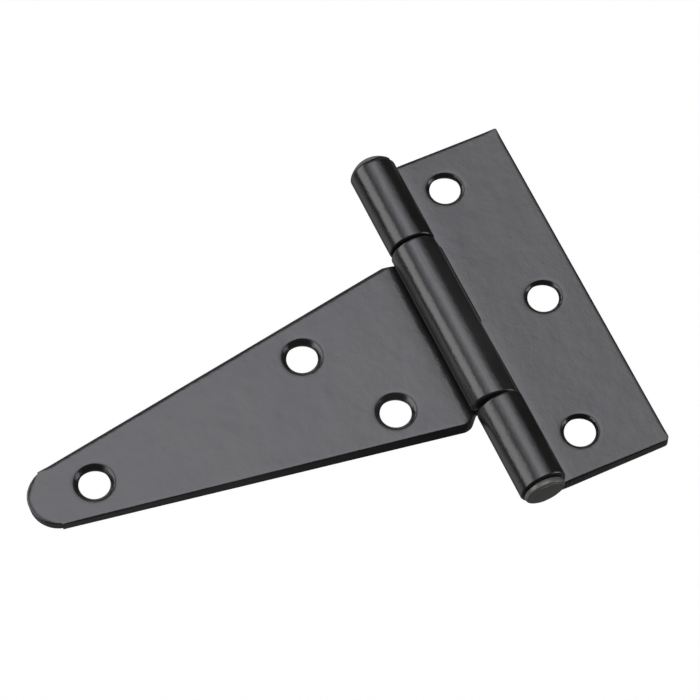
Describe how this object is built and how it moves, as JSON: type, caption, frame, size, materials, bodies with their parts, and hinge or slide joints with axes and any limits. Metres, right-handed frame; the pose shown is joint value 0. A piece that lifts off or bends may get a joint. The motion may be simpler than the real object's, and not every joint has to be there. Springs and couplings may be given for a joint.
{
  "type": "t hinge",
  "caption": "Surface-mounted T hinge for a gate, door or chest: rectangular post leaf, tapered strap leaf with rounded nose, and a riveted pin.",
  "frame": {"origin": "on the post leaf's flat back, midway between its two end screw holes", "axes": "+Z along the pin, up when the hinge is on a gate; +X along the strap, from the post to its nose; +Y out of the flat backs, into the post and the gate; the rolled eyes stand out towards -Y"},
  "size_m": [0.0993, 0.008, 0.0686],
  "materials": {
    "leaf_paint": "semi-gloss black paint on stamped steel",
    "strap_paint": "semi-gloss black paint on stamped steel",
    "pin_paint": "semi-gloss black paint on a riveted steel pin"
  },
  "bodies": {
    "post_side": {"post_leaf": "leaf_paint", "hinge_pin": "pin_paint"},
    "gate_side": {"strap_leaf": "strap_paint"}
  },
  "joints": [
    {"name": "pin_hinge", "type": "hinge", "parent": "post_side", "child": "gate_side", "pos_m": [0.0104, -0.004, 0], "axis": [0, 0, -1], "range_deg": [-90, 180]}
  ]
}
